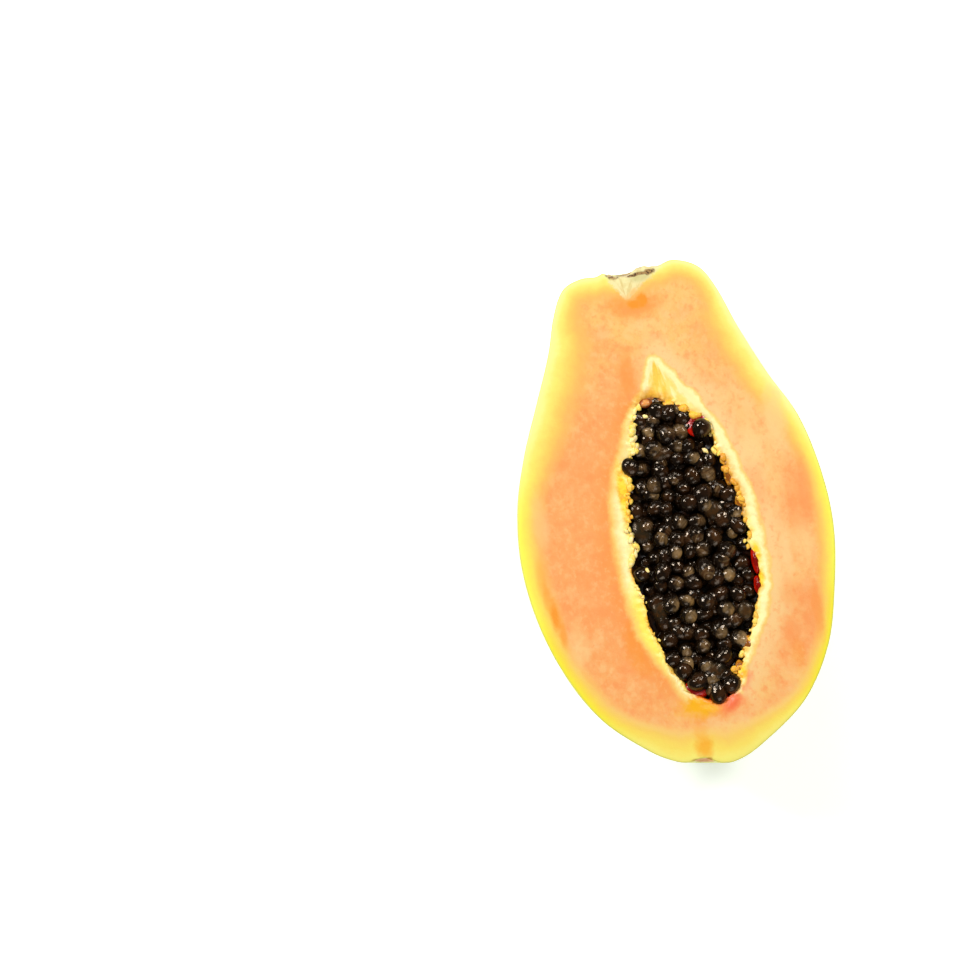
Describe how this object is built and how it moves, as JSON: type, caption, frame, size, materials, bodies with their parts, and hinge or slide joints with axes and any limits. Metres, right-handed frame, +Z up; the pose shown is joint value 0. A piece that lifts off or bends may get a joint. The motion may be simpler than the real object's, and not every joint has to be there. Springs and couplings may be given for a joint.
{
  "type": "papaya half",
  "caption": "Papaya cut lengthwise: skin and orange flesh in one piece round a spindle-shaped hollow full of dark seeds, lying on its skin with the cut face up.",
  "frame": {"origin": "middle of the small flat spot on the skin that the half rests on, right under its weight", "axes": "+Z up, out of the cut face; +Y along the fruit towards the stalk end; +X across the cut face, to the right when the stalk end points away"},
  "size_m": [0.1103, 0.1771, 0.0566],
  "materials": {
    "flesh_and_skin": "moist orange flesh, yellowing towards a thin waxy yellow-green skin",
    "seeds": "wet near-black seeds in clear jelly coats"
  },
  "bodies": {
    "root": {"papaya_half": "flesh_and_skin", "seeds": "seeds"}
  },
  "joints": []
}
